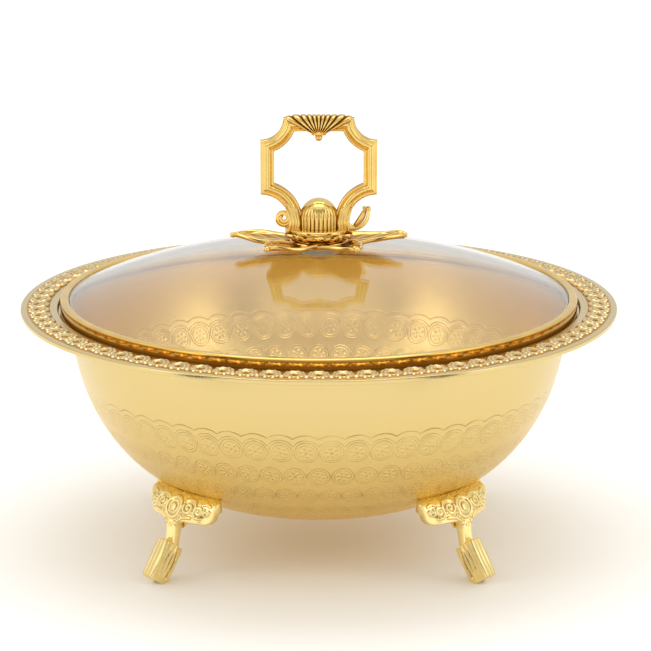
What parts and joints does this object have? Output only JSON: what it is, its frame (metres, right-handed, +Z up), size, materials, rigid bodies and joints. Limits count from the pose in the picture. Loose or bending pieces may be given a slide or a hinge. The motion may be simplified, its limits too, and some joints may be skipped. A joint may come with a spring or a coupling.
{
  "type": "footed serving bowl with glass lid",
  "caption": "Footed metal serving bowl with an ornamented flat rim, cast cabriole legs and a lift-off domed glass lid with a tall loop handle.",
  "frame": {"origin": "on the bowl's axis at floor level, in the plane of the four soles", "axes": "+Z up along the bowl's axis, -Y towards the front, +X to the viewer's right; the handle loop lies in the XZ plane"},
  "size_m": [0.346, 0.346, 0.2537],
  "materials": {
    "bowl_sheet": "satin gold-coloured sheet steel, etched with ring medallions",
    "rim_ornament": "bright gold-coloured relief",
    "leg_casting": "bright gold plating over a casting",
    "lid_ring": "polished gold-coloured sheet",
    "lid_glass": "clear polished tempered glass",
    "handle_casting": "polished gold plating over a casting",
    "fasteners": "gold-coloured machined steel",
    "seals": "translucent white silicone"
  },
  "bodies": {
    "bowl": {"bowl_shell": "bowl_sheet", "rim_band": "rim_ornament", "leg_front_left": "leg_casting", "leg_front_right": "leg_casting", "leg_back_left": "leg_casting", "leg_back_right": "leg_casting", "leg_screws": "fasteners", "leg_seals": "seals"},
    "lid": {"lid_ring": "lid_ring", "lid_glass": "lid_glass", "seal_upper": "seals", "seal_lower": "seals", "clamp_washer": "fasteners", "handle_screw": "fasteners", "leaf_rosette": "handle_casting", "petal_rosette": "handle_casting", "handle_loop": "handle_casting", "shell_crest": "handle_casting", "fluted_dome": "handle_casting", "scroll_left": "handle_casting", "scroll_right": "handle_casting"}
  },
  "joints": [
    {"name": "lid_lift", "type": "slide", "parent": "bowl", "child": "lid", "axis": [0, 0, 1], "range_m": [0, 0.2]}
  ]
}
